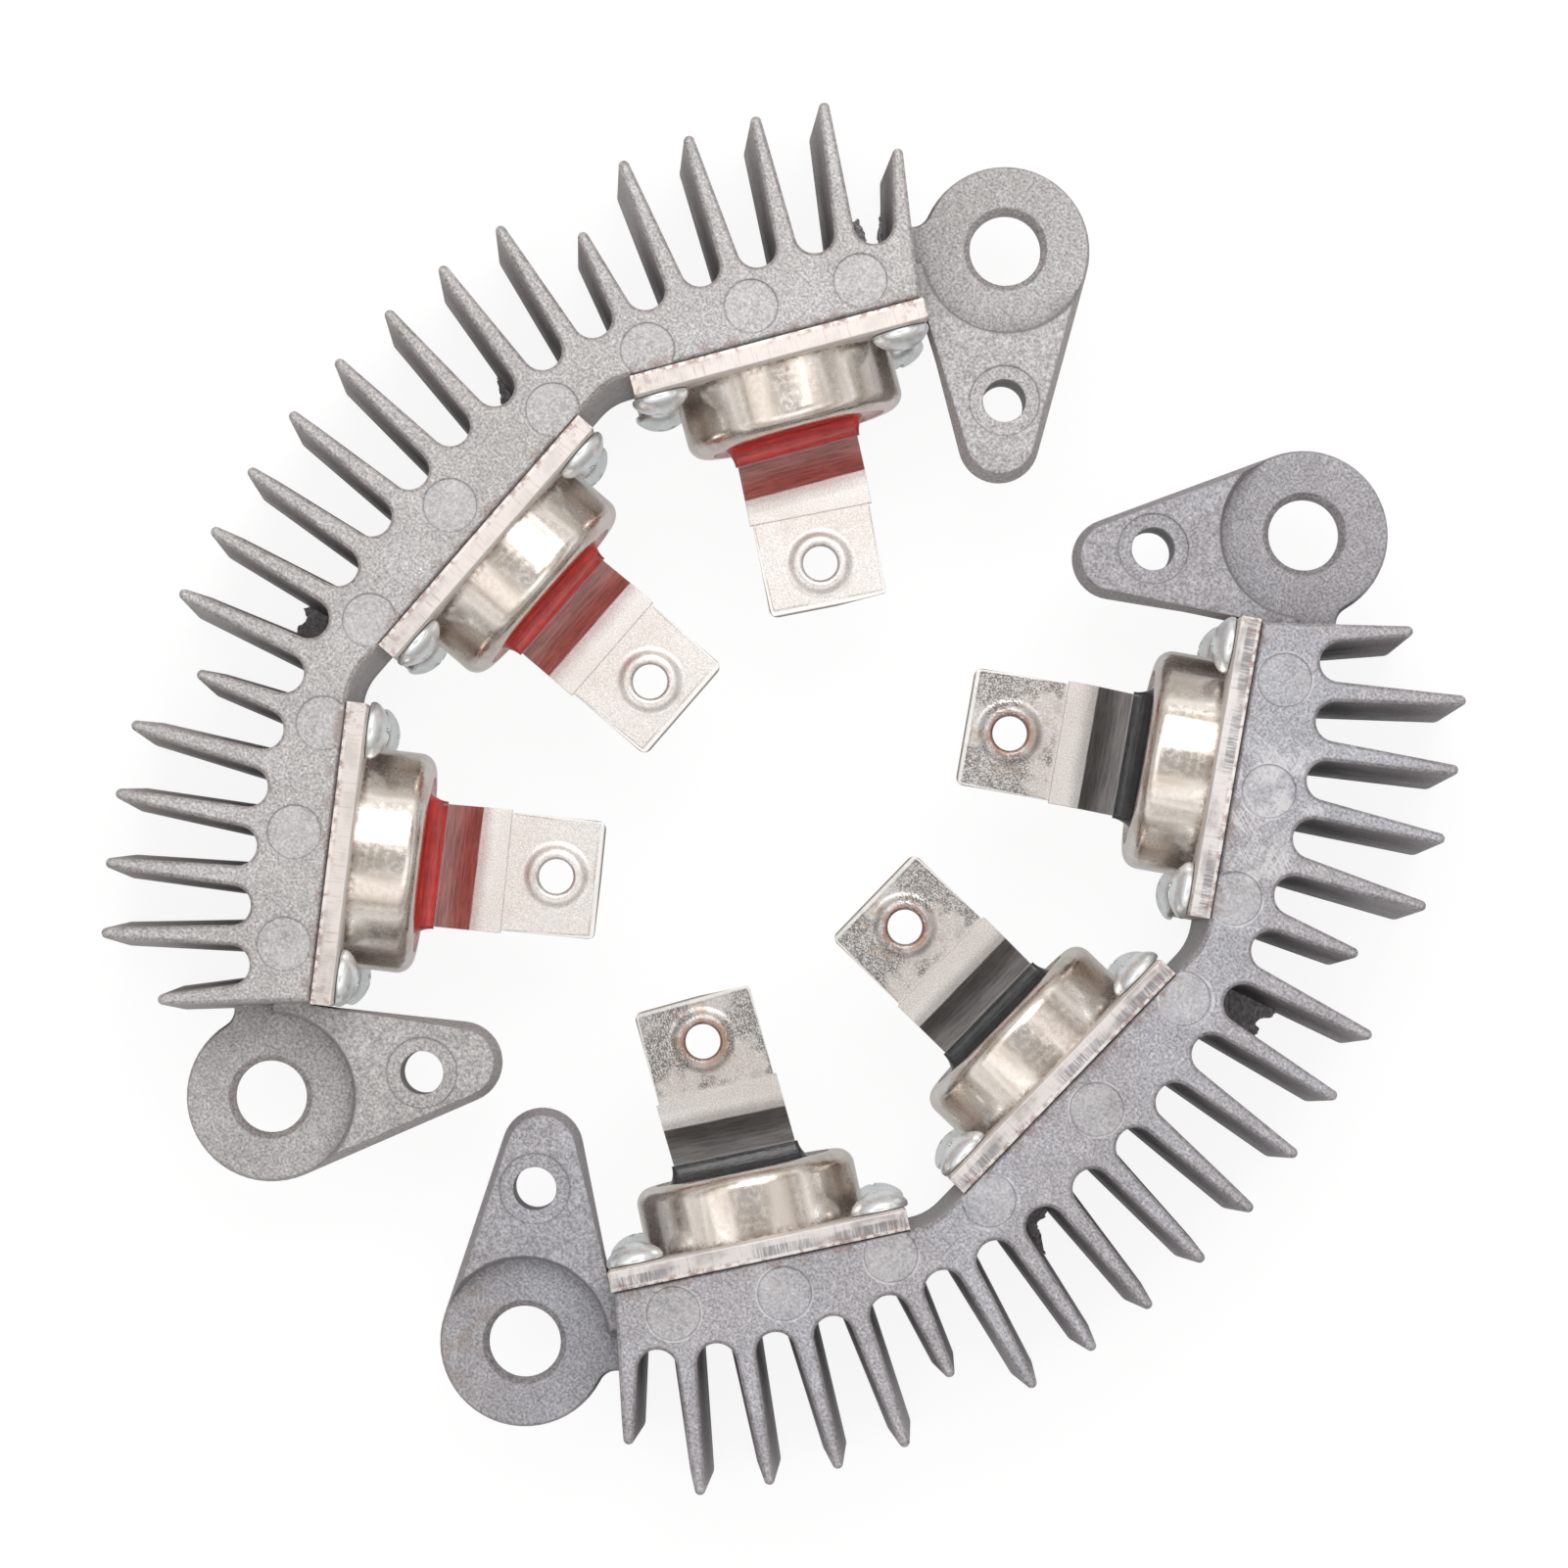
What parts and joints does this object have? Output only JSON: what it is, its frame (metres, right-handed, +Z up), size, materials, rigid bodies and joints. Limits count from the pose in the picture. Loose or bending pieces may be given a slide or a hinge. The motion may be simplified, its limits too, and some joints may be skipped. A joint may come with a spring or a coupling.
{
  "type": "three-phase bridge rectifier",
  "caption": "Alternator bridge rectifier: two facing finned die-cast heat sinks with mounting ears, each carrying screwed-on can diodes with cranked terminal straps.",
  "frame": {"origin": "centre of the footprint of the two castings, on the plane of their undersides", "axes": "+Z up along the fins' height, +X outward through the middle diode of the positive half, +Y from ear to ear"},
  "size_m": [0.1796, 0.1882, 0.036],
  "materials": {
    "cast_aluminium": "shot-blasted die casting",
    "plate_nickel": "nickel-plated copper, cut edges brushed",
    "can_nickel": "bright nickel plate",
    "strap_nickel": "satin nickel plate on copper",
    "screw_zinc": "blue zinc plate",
    "potting_red": "glossy casting resin",
    "potting_black": "glossy casting resin",
    "silicon": "polished silicon die, metallised"
  },
  "bodies": {
    "root": {"positive_heat_sink": "cast_aluminium", "positive_base_plate_1": "plate_nickel", "positive_diode_can_1": "can_nickel", "positive_potting_1": "potting_red", "positive_diode_chip_1": "silicon", "positive_terminal_strap_1": "strap_nickel", "positive_screws_1": "screw_zinc", "positive_base_plate_2": "plate_nickel", "positive_diode_can_2": "can_nickel", "positive_potting_2": "potting_red", "positive_diode_chip_2": "silicon", "positive_terminal_strap_2": "strap_nickel", "positive_screws_2": "screw_zinc", "positive_base_plate_3": "plate_nickel", "positive_diode_can_3": "can_nickel", "positive_potting_3": "potting_red", "positive_diode_chip_3": "silicon", "positive_terminal_strap_3": "strap_nickel", "positive_screws_3": "screw_zinc", "negative_heat_sink": "cast_aluminium", "negative_base_plate_1": "plate_nickel", "negative_diode_can_1": "can_nickel", "negative_potting_1": "potting_black", "negative_diode_chip_1": "silicon", "negative_terminal_strap_1": "strap_nickel", "negative_screws_1": "screw_zinc", "negative_base_plate_2": "plate_nickel", "negative_diode_can_2": "can_nickel", "negative_potting_2": "potting_black", "negative_diode_chip_2": "silicon", "negative_terminal_strap_2": "strap_nickel", "negative_screws_2": "screw_zinc", "negative_base_plate_3": "plate_nickel", "negative_diode_can_3": "can_nickel", "negative_potting_3": "potting_black", "negative_diode_chip_3": "silicon", "negative_terminal_strap_3": "strap_nickel", "negative_screws_3": "screw_zinc"}
  },
  "joints": []
}
